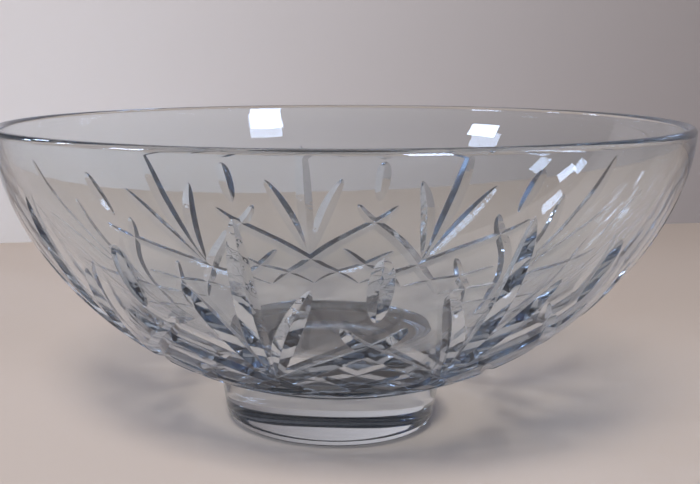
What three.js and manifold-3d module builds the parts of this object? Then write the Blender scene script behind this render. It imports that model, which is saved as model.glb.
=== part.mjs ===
// Footed bowl of clear cut crystal: a heavy hemispherical bowl, cut on its outside with a
// repeated pattern of mitre grooves, standing on a solid polished disc foot.
// Millimetres, +Z up, origin at the centre of the surface that the bowl stands on.
import * as THREE from "three";
import { mergeVertices } from "three/addons/utils/BufferGeometryUtils.js";
import Module from "manifold-3d";

// Driving dimensions of the bowl
const rimRadius = 150;
const bowlDepth = 111.7; // from the rim down to the flat seat that the foot is joined to
const rimWall = 4.2;
const seatWall = 10.7;
const thickeningPower = 1.375; // how late on its way down the wall thickens
const floorWall = 8; // glass between the bowl's inner floor and its seat

// Driving dimensions of the foot
const footHeight = 23.5;
const footSeatRadius = 50.6;
const footBaseRadius = 47.9;
const footEdgeRound = 7.4;
const standingRingWidth = 9; // flat ring between the rounded edge and the polished recess
const recessDepth = 1.6;

// Mitre cuts: the full width of each kind of groove at its widest, and the wheel's V angle
const repeats = 9;
const wheelAngleDegrees = 128;
const centreLeafWidth = 10;
const sideLeafWidth = 9;
const smallLeafWidth = 9.5;
const longDiagonalWidth = 8;
const shortDiagonalWidth = 6.5;
const cutOverrun = 1.5; // how far a cutter stands clear of the glass

// How finely the round forms are divided
const stepsPerRepeat = 8;
const aroundSteps = repeats * stepsPerRepeat;
const wallSteps = 12;
const floorSteps = 4;
const rimSteps = 4;
const edgeSteps = 4;
const recessSteps = 4;
const cutSteps = 5;

const repeatAngle = (2 * Math.PI) / repeats;
const firstFanAngle = THREE.MathUtils.degToRad(97.2); // the fan at the middle of the far side

// Where the outer wall's curve pulls: shares of the way out from the seat and down from the rim
const upperPullShares = { out: 1, down: 0.319 };
const lowerPullShares = { out: 0.614, down: 0.832 };

// The pattern, by kind of cut. Each point is [turn, drop]: turn counts repeats from a fan's
// centre line, and drop is the share of the bowl's depth below the rim.
const centreLeafShares = [[0, 0.19], [0, 0.815]];
const sideLeafShares = [[0.25, 0.42], [0.02, 0.8]];
const smallLeafShares = [[0.5, 0.31], [0.5, 0.54]];
const lowerCrossingShares = [0.25, 0.893];
const longDiagonalShares = [
  [-0.64, 0.56], [-0.5, 0.655], [0, 0.838], lowerCrossingShares, [0.5, 0.935],
];
const shortDiagonalShares = [[-0.72, 0.785], [-0.5, 0.855], [-0.25, 0.893], [0, 0.935]];

// Where along its length each kind of cut is deepest, and how full it stays towards its tips
const leafDeepestShare = 0.5;
const smallLeafDeepestShare = 0.45;
const diagonalDeepestShare = 0.42;
const fullnessPower = 0.7;

const { lerp, degToRad } = THREE.MathUtils;
const rimHeight = footHeight + bowlDepth;
const seatEdge = new THREE.Vector2(footSeatRadius, footHeight);

function wallPull(shares) {
  const out = (rimRadius - footSeatRadius) * shares.out;
  return new THREE.Vector2(footSeatRadius + out, rimHeight - bowlDepth * shares.down);
}

// The outer wall as a curve of (radius, height), from the rim down to the seat
const outerWall = new THREE.CubicBezierCurve(
  new THREE.Vector2(rimRadius, rimHeight),
  wallPull(upperPullShares),
  wallPull(lowerPullShares),
  seatEdge,
);

function outwardNormal(along) {
  const tangent = outerWall.getTangent(along);
  return new THREE.Vector2(-tangent.y, tangent.x);
}

function wallThickness(height) {
  const drop = (rimHeight - height) / bowlDepth;
  return lerp(rimWall, seatWall, Math.pow(drop, thickeningPower));
}

// The curve's parameter at a height, found by halving
const halvings = 40;

function alongAtHeight(height) {
  let low = 0;
  let high = 1;
  for (let i = 0; i < halvings; i += 1) {
    const middle = (low + high) / 2;
    if (outerWall.getPoint(middle).y > height) low = middle;
    else high = middle;
  }
  return (low + high) / 2;
}

// The bowl's half section: flat seat, outer wall, rounded rim, inner wall and inner floor
function bowlOutline() {
  const inner = [];
  const outer = [];
  for (let i = 0; i <= wallSteps; i += 1) {
    const along = i / wallSteps;
    const point = outerWall.getPoint(along);
    outer.push(point);
    inner.push(point.clone().addScaledVector(outwardNormal(along), -wallThickness(point.y)));
  }
  const lastInner = inner[wallSteps];
  const floorHeight = footHeight + floorWall;
  const floorCurve = new THREE.QuadraticBezierCurve(
    new THREE.Vector2(0, floorHeight),
    new THREE.Vector2(lastInner.x - (lastInner.y - floorHeight), floorHeight),
    lastInner,
  );
  const rimMiddle = rimRadius - rimWall / 2;
  const rim = [];
  for (let i = 1; i < rimSteps; i += 1) {
    const angle = Math.PI - (Math.PI * i) / rimSteps;
    rim.push(new THREE.Vector2(
      rimMiddle + Math.cos(angle) * rimWall / 2,
      rimHeight + Math.sin(angle) * rimWall / 2,
    ));
  }
  const floor = floorCurve.getPoints(floorSteps).slice(0, -1);
  const seatMiddle = new THREE.Vector2(0, footHeight);
  return [...floor, ...inner.reverse(), ...rim, ...outer, seatMiddle].reverse();
}

// The foot's half section: recess, standing ring, rounded edge, tapered side and flat top
function footOutline() {
  const outline = [];
  const flatRadius = footBaseRadius - footEdgeRound;
  const recessRadius = flatRadius - standingRingWidth;
  for (let i = 0; i <= recessSteps; i += 1) {
    const out = i / recessSteps;
    outline.push(new THREE.Vector2(recessRadius * out, recessDepth * (1 - out * out)));
  }
  for (let i = 0; i <= edgeSteps; i += 1) {
    const angle = (Math.PI / 2) * (i / edgeSteps);
    outline.push(new THREE.Vector2(
      flatRadius + Math.sin(angle) * footEdgeRound,
      footEdgeRound - Math.cos(angle) * footEdgeRound,
    ));
  }
  outline.push(seatEdge);
  outline.push(new THREE.Vector2(0, footHeight));
  return outline;
}

// A lathe turned about +Z from points of (radius, height)
function turned(outline) {
  const geometry = new THREE.LatheGeometry(outline, aroundSteps);
  geometry.rotateX(Math.PI / 2);
  return geometry;
}

// The place and outward direction on the outer wall at a turn and a drop
function onWall(turn, drop) {
  const along = alongAtHeight(rimHeight - bowlDepth * drop);
  const point = outerWall.getPoint(along);
  const out = outwardNormal(along);
  const angle = firstFanAngle + turn * repeatAngle;
  return {
    place: new THREE.Vector3(point.x * Math.cos(angle), point.x * Math.sin(angle), point.y),
    out: new THREE.Vector3(out.x * Math.cos(angle), out.x * Math.sin(angle), out.y),
  };
}

// How deep a cut is along its length: nothing at both tips and 1 at its deepest share
function depthShare(along, deepest) {
  const bent = Math.pow(along, Math.log(0.5) / Math.log(deepest));
  return Math.pow(Math.max(0, Math.sin(Math.PI * bent)), fullnessPower);
}

// The wedge that a mitre wheel takes out along a path over the wall
function mitreCutter(path, width, deepest) {
  const halfSlope = Math.tan(degToRad(wheelAngleDegrees) / 2);
  const fullDepth = width / 2 / halfSlope;
  const corners = [];
  for (let i = 0; i <= cutSteps; i += 1) {
    const along = i / cutSteps;
    const at = path.getPoint(along);
    const ahead = path.getPoint(Math.min(1, along + 0.5 / cutSteps));
    const behind = path.getPoint(Math.max(0, along - 0.5 / cutSteps));
    const { place, out } = onWall(at.x, at.y);
    const heading = onWall(ahead.x, ahead.y).place.sub(onWall(behind.x, behind.y).place);
    const side = new THREE.Vector3().crossVectors(heading, out).normalize();
    const tip = i === 0 || i === cutSteps;
    const depth = tip ? -cutOverrun / cutSteps : fullDepth * depthShare(along, deepest);
    const reach = (cutOverrun + depth) * halfSlope;
    corners.push(place.clone().addScaledVector(out, -depth));
    corners.push(place.clone().addScaledVector(out, cutOverrun).addScaledVector(side, reach));
    corners.push(place.clone().addScaledVector(out, cutOverrun).addScaledVector(side, -reach));
  }
  const faces = [0, 1, 2];
  for (let i = 0; i < cutSteps; i += 1) {
    for (let corner = 0; corner < 3; corner += 1) {
      const here = i * 3 + corner;
      const beside = i * 3 + ((corner + 1) % 3);
      faces.push(here, beside + 3, beside, here, here + 3, beside + 3);
    }
  }
  const end = cutSteps * 3;
  faces.push(end, end + 2, end + 1);
  const geometry = new THREE.BufferGeometry().setFromPoints(corners);
  geometry.setIndex(faces);
  return geometry;
}

// One repeat's cuts: the leaves of a fan, the small leaf beside it and the crossed diagonals
function cutsOfRepeat(index) {
  const cuts = [];
  function addCut(pathShares, width, deepest, mirrored) {
    const flip = mirrored ? -1 : 1;
    const points = pathShares.map(([turn, drop]) => new THREE.Vector2(index + flip * turn, drop));
    cuts.push(mitreCutter(new THREE.SplineCurve(points), width, deepest));
  }
  addCut(centreLeafShares, centreLeafWidth, leafDeepestShare, false);
  addCut(smallLeafShares, smallLeafWidth, smallLeafDeepestShare, false);
  for (const mirrored of [false, true]) {
    addCut(sideLeafShares, sideLeafWidth, leafDeepestShare, mirrored);
    addCut(longDiagonalShares, longDiagonalWidth, diagonalDeepestShare, mirrored);
    addCut(shortDiagonalShares, shortDiagonalWidth, diagonalDeepestShare, mirrored);
  }
  return cuts;
}

const wasm = await Module();
wasm.setup();

function solidFrom(geometry) {
  const bare = geometry.clone();
  bare.deleteAttribute("normal");
  bare.deleteAttribute("uv");
  const merged = mergeVertices(bare);
  return new wasm.Manifold(new wasm.Mesh({
    numProp: 3,
    vertProperties: merged.attributes.position.array,
    triVerts: new Uint32Array(merged.index.array),
  }));
}

function geometryFrom(solid) {
  const mesh = solid.getMesh();
  const geometry = new THREE.BufferGeometry();
  geometry.setAttribute("position", new THREE.BufferAttribute(mesh.vertProperties, 3));
  geometry.setIndex(new THREE.BufferAttribute(mesh.triVerts, 1));
  geometry.computeVertexNormals();
  return geometry;
}

function cutBowl() {
  let solid = solidFrom(turned(bowlOutline()));
  for (let index = 0; index < repeats; index += 1) {
    for (const cutter of cutsOfRepeat(index)) {
      solid = solid.subtract(solidFrom(cutter));
    }
  }
  return geometryFrom(solid);
}

// Lead crystal: colourless, very faintly grey, bright and smooth
function crystal(roughness) {
  return new THREE.MeshStandardMaterial({
    color: 0xe9edef,
    roughness,
    metalness: 0,
    transparent: true,
    opacity: 0.45,
    flatShading: true,
  });
}

const bowl = new THREE.Mesh(cutBowl(), crystal(0.04));
bowl.name = "bowl";

const foot = new THREE.Mesh(turned(footOutline()), crystal(0.02));
foot.name = "foot";

const crystalBowl = new THREE.Group();
crystalBowl.add(bowl, foot);

export default crystalBowl;
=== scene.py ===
# %% [markdown]
# A footed bowl of cut crystal
#
# This lesson dresses a cut crystal bowl for its picture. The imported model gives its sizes. Over it
# go two pieces of clear glass: the bowl, turned like a pot and then cut with grooves, and the thick
# disc foot that it stands on. Glass shows what is behind it and what it mirrors, so the studio
# matters as much as the glass, and it comes last.

# %% Load the frame
import math

import bmesh
import bpy
from mathutils import Matrix, Vector


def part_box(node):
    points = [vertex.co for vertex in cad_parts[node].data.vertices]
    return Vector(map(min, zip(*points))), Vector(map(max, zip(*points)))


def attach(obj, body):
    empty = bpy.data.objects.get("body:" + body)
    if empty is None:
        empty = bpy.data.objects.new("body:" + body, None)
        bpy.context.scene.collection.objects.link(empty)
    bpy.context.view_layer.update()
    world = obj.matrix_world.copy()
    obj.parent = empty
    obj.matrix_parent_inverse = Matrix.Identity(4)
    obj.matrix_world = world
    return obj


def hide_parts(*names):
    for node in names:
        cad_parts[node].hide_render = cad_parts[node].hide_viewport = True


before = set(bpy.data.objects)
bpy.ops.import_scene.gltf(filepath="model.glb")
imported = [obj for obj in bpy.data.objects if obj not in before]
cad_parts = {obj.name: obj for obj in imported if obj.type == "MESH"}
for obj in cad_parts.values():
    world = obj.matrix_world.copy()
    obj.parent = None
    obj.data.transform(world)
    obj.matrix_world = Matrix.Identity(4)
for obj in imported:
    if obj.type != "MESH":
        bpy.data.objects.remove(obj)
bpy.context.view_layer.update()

MM = 0.001
bpy.ops.object.select_all(action="DESELECT")

# %% [markdown]
# The sizes
#
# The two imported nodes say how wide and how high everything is. What they can't say, such as the
# wall's thickness at a height, is repeated here as named sizes. The outer wall is one cubic curve
# from the rim down to the seat, the flat where bowl and foot were joined hot.

# %% Sizes of the bowl and the foot
bowl_low, bowl_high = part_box("bowl")
_, foot_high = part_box("foot")

RIM_WALL = 4.2 * MM
SEAT_WALL = 10.7 * MM
THICKENING_POWER = 1.375
FLOOR_WALL = 8 * MM
FOOT_BASE_RADIUS = 47.9 * MM
FOOT_EDGE_ROUND = 7.4 * MM
STANDING_RING_WIDTH = 9 * MM
RECESS_DEPTH = 1.6 * MM

rim_radius = bowl_high.x
rim_height = bowl_high.z - RIM_WALL / 2
seat_height = bowl_low.z
seat_radius = foot_high.x
bowl_depth = rim_height - seat_height

REPEATS = 9
REPEAT_ANGLE = 2 * math.pi / REPEATS
FIRST_FAN_ANGLE = math.radians(97.2)
print(f"rim radius {rim_radius / MM:.1f} mm, depth {bowl_depth / MM:.1f} mm")

# %% The outer wall's curve
UPPER_PULL_SHARES = (1, 0.319)
LOWER_PULL_SHARES = (0.614, 0.832)


def wall_pull(shares):
    """A control point of the wall's curve, from shares of the way out and down."""
    out, down = shares
    radius = seat_radius + (rim_radius - seat_radius) * out
    return Vector((radius, rim_height - bowl_depth * down))


WALL_CONTROLS = (
    Vector((rim_radius, rim_height)),
    wall_pull(UPPER_PULL_SHARES),
    wall_pull(LOWER_PULL_SHARES),
    Vector((seat_radius, seat_height)),
)


def wall_point(along):
    """(radius, height) on the outer wall, with along running from 0 at the rim to 1."""
    a, b, c, d = WALL_CONTROLS
    back = 1 - along
    return (a * back ** 3 + b * 3 * back ** 2 * along
            + c * 3 * back * along ** 2 + d * along ** 3)


def wall_out(along):
    """The direction square to the wall, pointing out of the glass."""
    a, b, c, d = WALL_CONTROLS
    back = 1 - along
    run = (b - a) * back ** 2 + (c - b) * 2 * back * along + (d - c) * along ** 2
    return Vector((-run.y, run.x)).normalized()


def wall_thickness(height):
    """The glass thickens towards the seat, slowly at first."""
    drop = max(0, (rim_height - height) / bowl_depth)
    return RIM_WALL + (SEAT_WALL - RIM_WALL) * drop ** THICKENING_POWER


print("wall near mid height", [round(v / MM, 1) for v in wall_point(0.5)])

# %% [markdown]
# Turning a solid from its half section
#
# Both pieces are round, so each is modelled as its half section and spun round the axis, as a
# potter's rib or a glass maker's block shapes it. The section is walked by extruding one point
# again and again. It starts and ends on the axis, so the spun surface closes on itself.

# %% The half sections
WALL_STEPS = 84
FLOOR_STEPS = 14
RIM_STEPS = 10
EDGE_STEPS = 8
RECESS_STEPS = 12
SIDE_STEPS = 8


def bowl_section():
    """Seat, outer wall, rounded rim, inner wall and floor."""
    outer = [wall_point(i / WALL_STEPS) for i in range(WALL_STEPS + 1)]
    inner = [p - wall_out(i / WALL_STEPS) * wall_thickness(p.y) for i, p in enumerate(outer)]
    middle = rim_radius - RIM_WALL / 2
    rim = []
    for i in range(1, RIM_STEPS):
        angle = math.pi * i / RIM_STEPS
        rim.append(Vector((middle + math.cos(angle) * RIM_WALL / 2,
                           rim_height + math.sin(angle) * RIM_WALL / 2)))
    edge = inner[-1]
    floor_height = seat_height + FLOOR_WALL
    bend = Vector((edge.x - (edge.y - floor_height), floor_height))
    floor = []
    for i in range(1, FLOOR_STEPS + 1):
        along = i / FLOOR_STEPS
        floor.append(edge * (1 - along) ** 2 + bend * 2 * (1 - along) * along
                     + Vector((0, floor_height)) * along ** 2)
    seat = [Vector((0, seat_height))]
    return seat + outer[::-1] + rim + inner + floor


def foot_section():
    """Polished recess, standing ring, rounded edge, tapered side and flat top."""
    flat = FOOT_BASE_RADIUS - FOOT_EDGE_ROUND
    recess = flat - STANDING_RING_WIDTH
    points = []
    for i in range(RECESS_STEPS + 1):
        out = i / RECESS_STEPS
        points.append(Vector((recess * out, RECESS_DEPTH * (1 - out * out))))
    for i in range(EDGE_STEPS + 1):
        angle = math.pi / 2 * i / EDGE_STEPS
        points.append(Vector((flat + math.sin(angle) * FOOT_EDGE_ROUND,
                              FOOT_EDGE_ROUND - math.cos(angle) * FOOT_EDGE_ROUND)))
    side_low, side_high = points[-1], Vector((seat_radius, seat_height))
    for i in range(1, SIDE_STEPS + 1):
        points.append(side_low.lerp(side_high, i / SIDE_STEPS))
    return points + [Vector((0, seat_height))]


print("section points", len(bowl_section()), len(foot_section()))

# %% Spin a section
SPIN_STEPS = REPEATS * 32
WELD = 0.001 * MM


def spin_section(name, section):
    """A closed round solid, from points of (radius, height) that start and end on the axis."""
    bpy.ops.mesh.primitive_plane_add(size=MM, location=(0, 0, 0))
    piece = bpy.context.object
    piece.name = name
    piece.data.name = name
    bpy.ops.object.mode_set(mode="EDIT")
    bpy.ops.mesh.select_all(action="SELECT")
    bpy.ops.mesh.merge(type="CENTER")
    start = section[0]
    bpy.ops.transform.translate(value=(start.x, 0, start.y))
    for here, ahead in zip(section, section[1:]):
        step = ahead - here
        bpy.ops.mesh.extrude_region_move(TRANSFORM_OT_translate={"value": (step.x, 0, step.y)})
    bpy.ops.mesh.select_all(action="SELECT")
    bpy.ops.mesh.spin(steps=SPIN_STEPS, angle=2 * math.pi, use_auto_merge=True,
                      center=(0, 0, 0), axis=(0, 0, 1))
    bpy.ops.mesh.select_all(action="SELECT")
    bpy.ops.mesh.remove_doubles(threshold=WELD)
    bpy.ops.mesh.normals_make_consistent(inside=False)
    bpy.ops.mesh.select_all(action="DESELECT")
    bpy.ops.object.mode_set(mode="OBJECT")
    print(name, "turned:", len(piece.data.polygons), "faces")
    return piece


bowl = spin_section("cut_bowl", bowl_section())
bpy.ops.object.select_all(action="DESELECT")
foot = spin_section("disc_foot", foot_section())
bpy.ops.object.select_all(action="DESELECT")

# %% [markdown]
# The cut pattern
#
# A cutter presses the bowl against a stone wheel with a V edge and draws it along. Each stroke
# leaves a mitre cut, which is deepest where it was pressed hardest and runs out to a point. The
# pattern repeats round the wall: fans of three leaves, a small leaf between fans, long diagonals
# that cross at each fan's foot, and short ones that close the diamonds. The same wedge that the
# wheel takes out is modelled here, stroke by stroke, and subtracted.

# %% Where each stroke runs
WHEEL_ANGLE = math.radians(128)
FULLNESS_POWER = 0.7
CUT_OVERRUN = 1.5 * MM
STROKE_STEPS = 26

# Each point is (turn, drop): repeats from a fan's centre line, share of the bowl's depth
LOWER_CROSSING = (0.25, 0.893)
STROKES = {
    "centre_leaf": ([(0, 0.19), (0, 0.815)], 10 * MM, 0.5),
    "small_leaf": ([(0.5, 0.31), (0.5, 0.54)], 9.5 * MM, 0.45),
    "side_leaf": ([(0.25, 0.42), (0.02, 0.8)], 9 * MM, 0.5),
    "long_diagonal": ([(-0.64, 0.56), (-0.5, 0.655), (0, 0.838), LOWER_CROSSING, (0.5, 0.935)],
                      8 * MM, 0.42),
    "short_diagonal": ([(-0.72, 0.785), (-0.5, 0.855), (-0.25, 0.893), (0, 0.935)],
                       6.5 * MM, 0.42),
}
MIRRORED = ("side_leaf", "long_diagonal", "short_diagonal")
HALVINGS = 40
LAST_STRETCH_MARGIN = 1e-9  # keeps a stroke's very end in its last stretch


def along_at_drop(drop):
    """The wall curve's own measure at a share of the depth, found by halving."""
    low, high = 0.0, 1.0
    for _ in range(HALVINGS):
        middle = (low + high) / 2
        if wall_point(middle).y > rim_height - bowl_depth * drop:
            low = middle
        else:
            high = middle
    return (low + high) / 2


def on_wall(turn, drop):
    """The place on the outer wall, and the direction out of it, at a turn and a drop."""
    along = along_at_drop(drop)
    point, out = wall_point(along), wall_out(along)
    angle = FIRST_FAN_ANGLE + turn * REPEAT_ANGLE
    ray = Vector((math.cos(angle), math.sin(angle), 0))
    return (ray * point.x + Vector((0, 0, point.y)),
            ray * out.x + Vector((0, 0, out.y)))


def on_stroke(points, share):
    """A point of the smooth line through a stroke's points, as (turn, drop)."""
    last = len(points) - 1
    place = min(share * last, last - LAST_STRETCH_MARGIN)
    i = int(place)
    t = place - i
    p0, p1 = points[max(i - 1, 0)], points[i]
    p2, p3 = points[i + 1], points[min(i + 2, last)]
    return tuple(
        0.5 * (2 * b + (c - a) * t + (2 * a - 5 * b + 4 * c - d) * t * t
               + (3 * b - a - 3 * c + d) * t ** 3)
        for a, b, c, d in zip(p0, p1, p2, p3)
    )


print("strokes in a repeat", len(STROKES) + len(MIRRORED))

# %% [markdown]
# The wheel's wedge
#
# The wheel has a V edge of 128 degrees, so what it takes out has a triangle as its section. A
# triangle is laid at the stroke's start and extruded step by step, and each new one is set to the
# depth that the wheel reached there. The wedge stands a little clear of the wall outside, so that
# it cuts right through the surface, and a copy goes to each of the nine repeats.

# %% One wedge, extruded along its stroke
def wedge_corners(points, width, deepest, share):
    """The triangle that the wheel takes out at one place: its bottom and two top corners."""
    spread = math.tan(WHEEL_ANGLE / 2)
    half_step = 0.5 / STROKE_STEPS
    place, out = on_wall(*on_stroke(points, share))
    ahead = on_wall(*on_stroke(points, min(1, share + half_step)))[0]
    behind = on_wall(*on_stroke(points, max(0, share - half_step)))[0]
    side = (ahead - behind).cross(out).normalized()
    bent = share ** (math.log(0.5) / math.log(deepest))
    depth = width / 2 / spread * max(0, math.sin(math.pi * bent)) ** FULLNESS_POWER
    if share in (0, 1):
        depth = -CUT_OVERRUN / STROKE_STEPS
    reach = side * (CUT_OVERRUN + depth) * spread
    top = place + out * CUT_OVERRUN
    return place - out * depth, top + reach, top - reach


def wedge(name, points, width, deepest):
    """One stroke's wedge: a triangle extruded step by step and set down on the wall."""
    bpy.ops.object.select_all(action="DESELECT")
    bpy.ops.mesh.primitive_circle_add(vertices=3, radius=MM, fill_type="NGON")
    piece = bpy.context.object
    piece.name = name
    bpy.ops.object.mode_set(mode="EDIT")
    bpy.ops.mesh.select_all(action="SELECT")
    for i in range(STROKE_STEPS + 1):
        if i:
            bpy.ops.mesh.extrude_region_move()
        shape = bmesh.from_edit_mesh(piece.data)
        shape.verts.index_update()
        chosen = sorted((v for v in shape.verts if v.select), key=lambda v: v.index)
        corners = wedge_corners(points, width, deepest, i / STROKE_STEPS)
        for corner, place in zip(chosen, corners):
            corner.co = place
        bmesh.update_edit_mesh(piece.data)
    bpy.ops.mesh.select_all(action="SELECT")
    bpy.ops.mesh.normals_make_consistent(inside=False)
    bpy.ops.object.mode_set(mode="OBJECT")
    return piece


def round_the_wall(piece):
    """Copies a wedge to every repeat and joins the copies into one cutter."""
    copies = [piece]
    for i in range(1, REPEATS):
        copy = piece.copy()
        copy.data = piece.data.copy()
        copy.data.transform(Matrix.Rotation(i * REPEAT_ANGLE, 4, "Z"))
        bpy.context.collection.objects.link(copy)
        copies.append(copy)
    bpy.ops.object.select_all(action="DESELECT")
    for copy in copies:
        copy.select_set(True)
    bpy.context.view_layer.objects.active = piece
    bpy.ops.object.join()
    return piece


cutters = []
for stroke, (points, width, deepest) in STROKES.items():
    cutters.append(round_the_wall(wedge(stroke, points, width, deepest)))
    if stroke in MIRRORED:
        turned_back = [(-turn, drop) for turn, drop in points]
        cutters.append(round_the_wall(wedge(stroke + "_back", turned_back, width, deepest)))
print("cutters", [c.name for c in cutters])

# %% [markdown]
# Finishes
#
# Lead crystal is colourless glass with a high index, about 1.545, which gives it its sparkle. The
# wall was shaped hot and keeps a faint fire-polished waviness. The cuts were smoothed and polished
# by hand after the wheel, so they wave more and their edges are a little rounded. Their glass gets
# a touch bluer and darker tint, a painted stand-in for the bluish daylight and shade that the cuts
# show. Light that turns back inside the glass again and again goes a long way in it, so the
# glass takes up a little light on its way, which draws the dark line of the rim and the dark sides
# of the cuts. A renderer keeps count of that by piece and material, so all that shows of a piece
# is one material, and the bowl's reads from a face attribute which faces are cut. Where the foot
# was pressed on hot the two gathers became one glass. The flat between them has a material of its
# own there, which light passes as if it weren't there.

# %% A node helper and the colours
def linear(hex_colour):
    """An sRGB hex colour as the linear colour that a shader takes."""
    values = [int(hex_colour[i:i + 2], 16) / 255 for i in (1, 3, 5)]
    return [v / 12.92 if v <= 0.04045 else ((v + 0.055) / 1.055) ** 2.4 for v in values] + [1]


def add_node(tree, kind, settings=None, links=None):
    """Adds a node, sets its properties and input values, and links its inputs."""
    node = tree.nodes.new(kind)
    for name, value in (settings or {}).items():
        if isinstance(name, int) or name in node.inputs:
            node.inputs[name].default_value = value
        else:
            setattr(node, name, value)
    for name, source in (links or {}).items():
        tree.links.new(source, node.inputs[name])
    return node


def new_material(name):
    material = bpy.data.materials.new(name)
    material.use_nodes = True
    material.node_tree.nodes.clear()
    return material, material.node_tree


print("a mid grey is", round(linear("#808080")[0], 3), "of white's light")

# %% What the crystal is like
CRYSTAL_INDEX = 1.545
CRYSTAL_COLOUR = "#F8FBFC"
# The cut faces get a painted tint, bluer and darker than the glass, in place of the bluish daylight
# and shade they show
PAINTED_CUT_TINT = "#E2EAF0"
DEPTH_COLOUR = "#BCCBD9"
ARRIS_ROUND = 0.35 * MM  # how far polishing has rounded the edges of the cuts
ARRIS_SAMPLES = 4
WAVE_HEIGHT = 0.04 * MM
CUT_WAVE = 4.5 * MM
CUT_WAVE_RISE = 3.0  # how much higher the waves are in the cuts

# Lamplight goes straight through the glass here, without being bent, so these colours stand for
# how much of it arrives: less where the glass is met aslant, and less where cuts scatter it
CUT_LAMP_COLOUR = "#6E6E70"
BLOCKED = [0, 0, 0, 1]
ASLANT_POWER = 5


def surface_waves(tree, wave_width):
    """A soft height pattern with waves of this width, fixed to the piece."""
    coordinates = add_node(tree, "ShaderNodeTexCoord")
    return add_node(tree, "ShaderNodeTexNoise", {"Scale": 1 / wave_width, "Detail": 1.0},
                    {"Vector": coordinates.outputs["Object"]})


def let_cuts_differ(tree, bump, glass, passed):
    """Gives the cut faces their own waves, a painted bluer and darker tint that stands in for
    daylight and shade, and their own share of lamplight.
    """
    is_cut = add_node(tree, "ShaderNodeAttribute", {"attribute_name": "cut"}).outputs["Fac"]
    raised = add_node(tree, "ShaderNodeMath", {"operation": "MULTIPLY", 1: CUT_WAVE_RISE},
                      {0: surface_waves(tree, CUT_WAVE).outputs["Fac"]})
    waves = add_node(tree, "ShaderNodeMixRGB", None,
                     {"Fac": is_cut, "Color1": bump.inputs["Height"].links[0].from_socket,
                      "Color2": raised.outputs["Value"]})
    tree.links.new(waves.outputs["Color"], bump.inputs["Height"])
    # The cut faces' base colour is a painted tint: bluer, darker glass that stands in for daylight
    # and shade on the cuts
    for socket, colour in ((glass.inputs["Base Color"], PAINTED_CUT_TINT),
                           (passed.inputs["Color1"], CUT_LAMP_COLOUR)):
        either = add_node(tree, "ShaderNodeMixRGB",
                          {"Color1": socket.default_value, "Color2": linear(colour)},
                          {"Fac": is_cut})
        tree.links.new(either.outputs["Color"], socket)


print("index", CRYSTAL_INDEX, "colours", CRYSTAL_COLOUR, PAINTED_CUT_TINT, DEPTH_COLOUR)

# %% Crystal
def crystal(name, wave_width, density, lamp_colour, has_cuts):
    """Clear lead crystal. Its surface waves a little over wave_width, it takes up light by
    density per metre, and lamplight that meets it squarely passes in lamp_colour."""
    material, tree = new_material(name)
    arris = add_node(tree, "ShaderNodeBevel", {"samples": ARRIS_SAMPLES, "Radius": ARRIS_ROUND})
    bump = add_node(tree, "ShaderNodeBump", {"Strength": 1.0, "Distance": WAVE_HEIGHT},
                    {"Height": surface_waves(tree, wave_width).outputs["Fac"],
                     "Normal": arris.outputs["Normal"]})
    glass = add_node(tree, "ShaderNodeBsdfPrincipled",
                     {"Base Color": linear(CRYSTAL_COLOUR), "Transmission Weight": 1.0,
                      "Roughness": 0.0, "IOR": CRYSTAL_INDEX},
                     {"Normal": bump.outputs["Normal"]})
    aslant = add_node(tree, "ShaderNodeLayerWeight", {"Blend": 0.5})
    turned_back = add_node(tree, "ShaderNodeMath", {"operation": "POWER", 1: ASLANT_POWER},
                           {0: aslant.outputs["Facing"]})
    passed = add_node(tree, "ShaderNodeMixRGB",
                      {"Color1": linear(lamp_colour), "Color2": BLOCKED},
                      {"Fac": turned_back.outputs["Value"]})
    if has_cuts:
        let_cuts_differ(tree, bump, glass, passed)
    clear = add_node(tree, "ShaderNodeBsdfTransparent", None, {"Color": passed.outputs["Color"]})
    path = add_node(tree, "ShaderNodeLightPath")
    mix = add_node(tree, "ShaderNodeMixShader", None,
                   {0: path.outputs["Is Shadow Ray"], 1: glass.outputs["BSDF"],
                    2: clear.outputs["BSDF"]})
    depth = add_node(tree, "ShaderNodeVolumeAbsorption",
                     {"Color": linear(DEPTH_COLOUR), "Density": density})
    add_node(tree, "ShaderNodeOutputMaterial", None,
             {"Surface": mix.outputs["Shader"], "Volume": depth.outputs["Volume"]})
    return material


def hot_seam():
    """The flat where two gathers fused: one glass, so light goes straight through."""
    material, tree = new_material("hot_joined_seam")
    clear = add_node(tree, "ShaderNodeBsdfTransparent", {"Color": [1, 1, 1, 1]})
    add_node(tree, "ShaderNodeOutputMaterial", None, {"Surface": clear.outputs["BSDF"]})
    return material


cut_crystal = crystal("cut_crystal", wave_width=22 * MM, density=12, lamp_colour="#F4F6F6",
                      has_cuts=True)
polished_crystal = crystal("polished_crystal", wave_width=16 * MM, density=4,
                           lamp_colour="#D0D2D4", has_cuts=False)
seam = hot_seam()
print("materials", [m.name for m in (cut_crystal, polished_crystal, seam)])

# %% [markdown]
# Cutting the bowl
#
# A Boolean modifier with the Manifold solver takes the wedges out, one set at a time, so that
# strokes that cross are never in the same cutter. A cut face takes its material from the cutter,
# so the cutters carry a marker, from which the face attribute is written once all cuts are made.

# %% Take out the cuts
CUT_SLOT = 1
groove_marker = bpy.data.materials.new("groove_marker")


def fill_slots(piece, materials):
    piece.data.materials.clear()
    for material in materials:
        piece.data.materials.append(material)


fill_slots(bowl, (cut_crystal, groove_marker))
for cutter in cutters:
    fill_slots(cutter, (cut_crystal, groove_marker))
    cutter.data.polygons.foreach_set("material_index", [CUT_SLOT] * len(cutter.data.polygons))
    bpy.ops.object.select_all(action="DESELECT")
    bowl.select_set(True)
    bpy.context.view_layer.objects.active = bowl
    cut = bowl.modifiers.new(cutter.name, "BOOLEAN")
    cut.operation = "DIFFERENCE"
    cut.solver = "MANIFOLD"
    cut.object = cutter
    bpy.ops.object.modifier_apply(modifier=cut.name)
    bpy.data.objects.remove(cutter)

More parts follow.
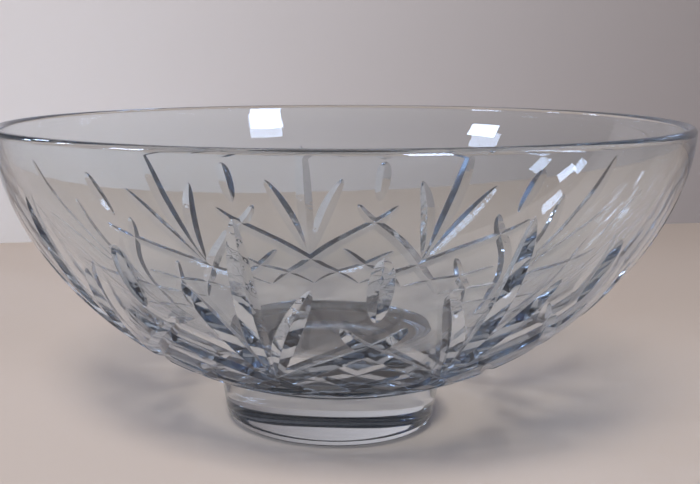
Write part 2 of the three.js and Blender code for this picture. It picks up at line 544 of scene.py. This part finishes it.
# %% Mark the cut faces and the seam, and smooth the glass
SMOOTH_BELOW = math.radians(24)
SEAT_TOLERANCE = 0.01 * MM
FACES_UP_OR_DOWN = 0.999  # the least share of a normal that stands upright on a level face


def on_seat(face):
    """True for a face of the flat where bowl and foot were joined."""
    return (abs(face.center.z - seat_height) < SEAT_TOLERANCE
            and abs(face.normal.z) > FACES_UP_OR_DOWN)


def smooth(piece):
    bpy.ops.object.select_all(action="DESELECT")
    piece.select_set(True)
    bpy.context.view_layer.objects.active = piece
    bpy.ops.object.shade_smooth_by_angle(angle=SMOOTH_BELOW)


cut_marks = [float(face.material_index == CUT_SLOT) for face in bowl.data.polygons]
bowl.data.attributes.new("cut", "FLOAT", "FACE").data.foreach_set("value", cut_marks)
print("bowl faces", len(cut_marks), "of which cut", round(sum(cut_marks)))

for piece, material in ((bowl, cut_crystal), (foot, polished_crystal)):
    faces = piece.data.polygons
    fill_slots(piece, (material, seam))
    faces.foreach_set("material_index", [int(on_seat(face)) for face in faces])
    smooth(piece)
bpy.data.materials.remove(groove_marker)


def report_mesh(piece):
    """Prints how fine a piece is, whether it is closed, and how much glass is in it."""
    shape = bmesh.new()
    shape.from_mesh(piece.data)
    open_edges = sum(not e.is_manifold for e in shape.edges)
    volume = shape.calc_volume()
    triangles = sum(len(f.verts) - 2 for f in shape.faces)
    shape.free()
    print(piece.name, "triangles", triangles, "open edges", open_edges,
          f"volume {volume * 1e6:.0f} cm3")


report_mesh(bowl)
report_mesh(foot)

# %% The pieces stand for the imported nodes
for piece, node, slot in ((bowl, "bowl", "cut_crystal"), (foot, "foot", "polished_crystal")):
    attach(piece, "root")
    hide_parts(node)
    print(piece.name, "replaces", node, "and fills the slot", slot)

# %% [markdown]
# The studio
#
# Clear glass has no colour of its own to show, so it is drawn by what it bends and mirrors. A
# pale floor and a grey wall close behind it give it a quiet background, and the line where they
# meet is bent by every cut. The wall's colour runs from lighter on the left to darker on the
# right, a painted falloff of light as if it were lit from the left. Both are matt paint with a
# fine grain. They can't be seen from behind, so that the bowl can also be looked at from there
# and from below.

# %% Floor and backdrop
FLOOR_COLOUR = "#C1B3A8"
# The wall is lighter on the left and darker on the right: painted falloff of light, as if lit from
# the left
WALL_LIT_LEFT_COLOUR = "#C8C2BE"
WALL_SHADED_RIGHT_COLOUR = "#8C837E"
PAINT_GRAIN = 3 * MM
PAINT_RELIEF = 0.1 * MM
PAINT_ROUGHNESS = 0.8
WALL_DISTANCE = 0.53
WALL_TURN = math.radians(14)
WALL_HALF_WIDTH = 1.2
WALL_SIDEWAYS = 0.72
LIGHT_SIDE_X, DARK_SIDE_X = -1.15, -0.25
FLOOR_HALF_WIDTH = 6.0


def matt(name, left_colour, right_colour):
    """Matt paint whose colour passes from one to another, left to right, on its front only. On the
    wall this is a painted falloff of light.
    """
    material, tree = new_material(name)
    coordinates = add_node(tree, "ShaderNodeTexCoord")
    apart = add_node(tree, "ShaderNodeSeparateXYZ", None, {"Vector": coordinates.outputs["Object"]})
    across = add_node(tree, "ShaderNodeMapRange",
                      {"interpolation_type": "SMOOTHSTEP", "From Min": LIGHT_SIDE_X,
                       "From Max": DARK_SIDE_X},
                      {"Value": apart.outputs["X"]})
    blend = add_node(tree, "ShaderNodeMixRGB",
                     {"Color1": linear(left_colour), "Color2": linear(right_colour)},
                     {"Fac": across.outputs["Result"]})
    grain = add_node(tree, "ShaderNodeTexNoise", {"Scale": 1 / PAINT_GRAIN, "Detail": 2.0},
                     {"Vector": coordinates.outputs["Object"]})
    bump = add_node(tree, "ShaderNodeBump", {"Strength": 0.1, "Distance": PAINT_RELIEF},
                    {"Height": grain.outputs["Fac"]})
    shader = add_node(tree, "ShaderNodeBsdfPrincipled", {"Roughness": PAINT_ROUGHNESS},
                      {"Base Color": blend.outputs["Color"], "Normal": bump.outputs["Normal"]})
    side = add_node(tree, "ShaderNodeNewGeometry")
    clear = add_node(tree, "ShaderNodeBsdfTransparent")
    both = add_node(tree, "ShaderNodeMixShader", None,
                    {0: side.outputs["Backfacing"], 1: shader.outputs["BSDF"],
                     2: clear.outputs["BSDF"]})
    add_node(tree, "ShaderNodeOutputMaterial", None, {"Surface": both.outputs["Shader"]})
    return material


def studio_plane(name, material, half_width, place, turn):
    """A square plane that is part of the studio, not of the bowl."""
    bpy.ops.object.select_all(action="DESELECT")
    bpy.ops.mesh.primitive_plane_add(size=2 * half_width, location=place, rotation=turn)
    plane = bpy.context.object
    plane.name = name
    plane.data.materials.append(material)
    print(name, "is", 2 * half_width, "m across")


studio_plane("floor", matt("pale_floor", FLOOR_COLOUR, FLOOR_COLOUR),
             FLOOR_HALF_WIDTH, (0, 0, 0), (0, 0, 0))
studio_plane("backdrop", matt("wall_with_painted_light_falloff", WALL_LIT_LEFT_COLOUR, WALL_SHADED_RIGHT_COLOUR),
             WALL_HALF_WIDTH,
             (WALL_SIDEWAYS, WALL_DISTANCE + WALL_SIDEWAYS * math.tan(WALL_TURN), 0),
             (math.radians(90), 0, WALL_TURN))

# %% The room's own light
ROOM_OVERHEAD_COLOUR = "#34363C"
ROOM_LEVEL_COLOUR = "#96908C"
ROOM_DARKENS_FROM, ROOM_DARK_FROM = 0.02, 0.3  # the upward share of the way that is looked

room = bpy.data.worlds.new("room")
bpy.context.scene.world = room
room.use_nodes = True
room_tree = room.node_tree
room_tree.nodes.clear()
where = add_node(room_tree, "ShaderNodeTexCoord")
parts = add_node(room_tree, "ShaderNodeSeparateXYZ", None, {"Vector": where.outputs["Generated"]})
height = add_node(room_tree, "ShaderNodeMapRange",
                  {"From Min": ROOM_DARKENS_FROM, "From Max": ROOM_DARK_FROM},
                  {"Value": parts.outputs["Z"]})
sky = add_node(room_tree, "ShaderNodeMixRGB",
               {"Color1": linear(ROOM_LEVEL_COLOUR), "Color2": linear(ROOM_OVERHEAD_COLOUR)},
               {"Fac": height.outputs["Result"]})
light = add_node(room_tree, "ShaderNodeBackground", {"Strength": 1.0},
                 {"Color": sky.outputs["Color"]})
add_node(room_tree, "ShaderNodeOutputWorld", None, {"Surface": light.outputs["Background"]})
print("the room is", ROOM_LEVEL_COLOUR, "all round and", ROOM_OVERHEAD_COLOUR, "overhead")

# %% [markdown]
# The lamps
#
# The bright panes on the glass are mirrored windows, so each window is a rectangular lamp that
# stands where its pane is mirrored from: one behind the camera and four on the left. A bluish
# daylight sets them apart from the warm room. A soft box above the camera gives the floor its even
# light and the bowl its shadow. It would put one more pane on the wall of the glass, so neither
# mirrored nor bent rays see it.

# %% Windows
LAMP_AIM = Vector((0, 0, 0.1))
LAMP_DISTANCE = 2.5
DAYLIGHT_COLOUR = "#D3E2FF"
SOFT_BOX_COLOUR = "#FFF9F2"

# Azimuth and elevation in degrees, width and height in metres, and radiance
WINDOWS = {
    "window_behind": (-62, 13, 0.58, 0.95, 22),
    "window_left_behind": (-155, 20, 0.5, 0.45, 26),
    "window_left_near": (171, 27, 0.24, 0.3, 26),
    "window_left_far": (152, 20, 0.2, 0.2, 26),
    "window_left_high": (148, 30, 0.2, 0.24, 26),
}
SOFT_BOX = (-100, 50, 0.7, 0.7, 34)


def lamp_pane(name, colour, azimuth, elevation, width, height, radiance):
    """A rectangular lamp that faces the bowl, as bright as its radiance says. The camera doesn't
    see it, only its light and what the glass shows of it."""
    level_share = math.cos(math.radians(elevation))
    ray = Vector((math.cos(math.radians(azimuth)) * level_share,
                  math.sin(math.radians(azimuth)) * level_share,
                  math.sin(math.radians(elevation))))
    lamp = bpy.data.lights.new(name, "AREA")
    lamp.shape = "RECTANGLE"
    lamp.size, lamp.size_y = width, height
    lamp.energy = radiance * math.pi * width * height
    lamp.color = linear(colour)[:3]
    holder = bpy.data.objects.new(name, lamp)
    holder.location = LAMP_AIM + ray * LAMP_DISTANCE
    holder.rotation_euler = (-ray).to_track_quat("-Z", "Y").to_euler()
    holder.visible_camera = False
    bpy.context.collection.objects.link(holder)
    print(name, f"{lamp.energy:.1f} W")
    return holder


for name, measures in WINDOWS.items():
    lamp_pane(name, DAYLIGHT_COLOUR, *measures)
soft_box = lamp_pane("soft_box", SOFT_BOX_COLOUR, *SOFT_BOX)
soft_box.visible_glossy = False
soft_box.visible_transmission = False

# %% [markdown]
# The camera
#
# The camera stands half a metre from the bowl's middle and a little above its rim, and looks down
# by 10 degrees, so that the rim is a flat ellipse and the far wall shows through the near one. Light
# that is caught between the two faces of the wall turns back dozens of times before it gets out,
# so the renderer is allowed that many bounces. With fewer, those places would be black.

# %% Camera
EYE_DISTANCE = 499.4 * MM
EYE_ABOVE_RIM = 30 * MM
TURN = math.radians(-6.18)
TILT = math.radians(10.01)
ROLL = math.radians(-0.37)
FOCAL_LENGTH = 56.92
SENSOR_WIDTH = 36.0
SHIFT_ACROSS = 0.196
SHIFT_UP = 0.009
BOUNCES = 64

forward = Vector((math.sin(TURN) * math.cos(TILT), math.cos(TURN) * math.cos(TILT),
                  -math.sin(TILT)))
level = Vector((math.cos(TURN), -math.sin(TURN), 0))
upright = level.cross(forward)
right = level * math.cos(ROLL) + upright * math.sin(ROLL)
up = upright * math.cos(ROLL) - level * math.sin(ROLL)

lens = bpy.data.cameras.new("camera")
lens.lens = FOCAL_LENGTH
lens.sensor_width = SENSOR_WIDTH
lens.shift_x = SHIFT_ACROSS
lens.shift_y = SHIFT_UP
camera = bpy.data.objects.new("camera", lens)
turn = Matrix((right, up, -forward)).transposed().to_4x4()
camera.matrix_world = Matrix.Translation((0, -EYE_DISTANCE, bowl_high.z + EYE_ABOVE_RIM)) @ turn
bpy.context.collection.objects.link(camera)
scene = bpy.context.scene
scene.camera = camera
scene.view_settings.view_transform = "Standard"
for limit in ("max_bounces", "glossy_bounces", "transmission_bounces", "transparent_max_bounces"):
    setattr(scene.cycles, limit, BOUNCES)
print("camera at", [round(v, 3) for v in camera.matrix_world.translation], "m")
